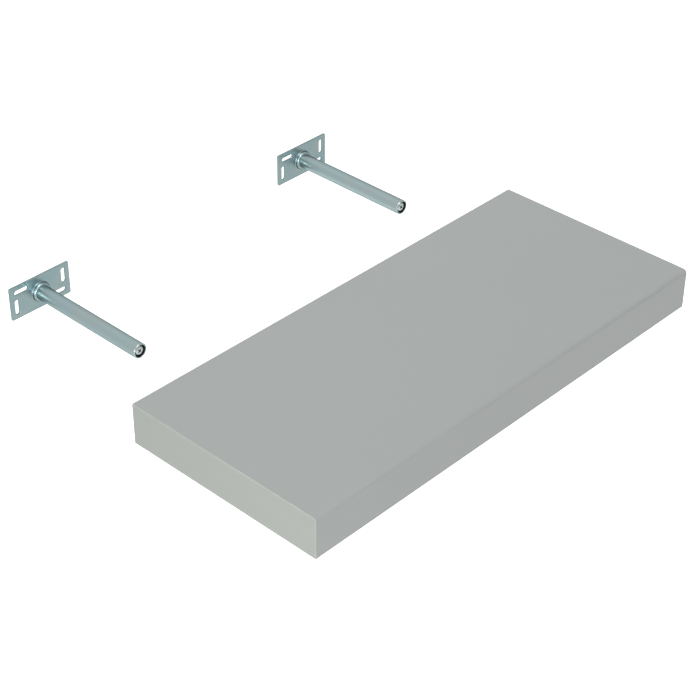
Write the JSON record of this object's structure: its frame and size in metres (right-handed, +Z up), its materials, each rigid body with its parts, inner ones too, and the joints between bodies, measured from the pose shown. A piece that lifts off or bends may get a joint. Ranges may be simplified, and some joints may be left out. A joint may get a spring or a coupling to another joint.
{
  "type": "floating wall shelf",
  "caption": "Plain hollow-core board with a softened upper front edge. It slides onto round tubes that stand on slotted wall plates, which it hides once pushed home.",
  "frame": {"origin": "on the wall, midway between the two supports, at the height of their tubes", "axes": "+X along the board to its right end, +Y into the wall, +Z up; the board stands pulled off its supports at rest"},
  "size_m": [0.6, 0.524, 0.05],
  "materials": {
    "decor_foil": "matte",
    "edge_band": "matte",
    "fibreboard": "matte",
    "chipboard": "matte",
    "honeycomb_paper": "matte",
    "zinc_plate": "satin",
    "zinc_tube": "satin",
    "screw_zinc": "satin",
    "bush_plastic": "matte"
  },
  "bodies": {
    "wall_brackets": {"left_wall_plate": "zinc_plate", "right_wall_plate": "zinc_plate", "left_support_tube": "zinc_tube", "right_support_tube": "zinc_tube", "left_tip_bush": "bush_plastic", "right_tip_bush": "bush_plastic", "left_clamp_screw": "screw_zinc", "right_clamp_screw": "screw_zinc", "left_clamp_nut": "screw_zinc", "right_clamp_nut": "screw_zinc"},
    "shelf": {"decor_wrap": "decor_foil", "top_skin": "fibreboard", "bottom_skin": "fibreboard", "front_rail": "chipboard", "rear_rail": "chipboard", "left_end_rail": "chipboard", "right_end_rail": "chipboard", "left_guide_block": "chipboard", "right_guide_block": "chipboard", "left_end_band": "edge_band", "right_end_band": "edge_band", "left_core": "honeycomb_paper", "middle_core": "honeycomb_paper", "right_core": "honeycomb_paper"}
  },
  "joints": [
    {"name": "shelf_slide", "type": "slide", "parent": "wall_brackets", "child": "shelf", "axis": [0, 1, 0], "range_m": [0, 0.264]}
  ]
}
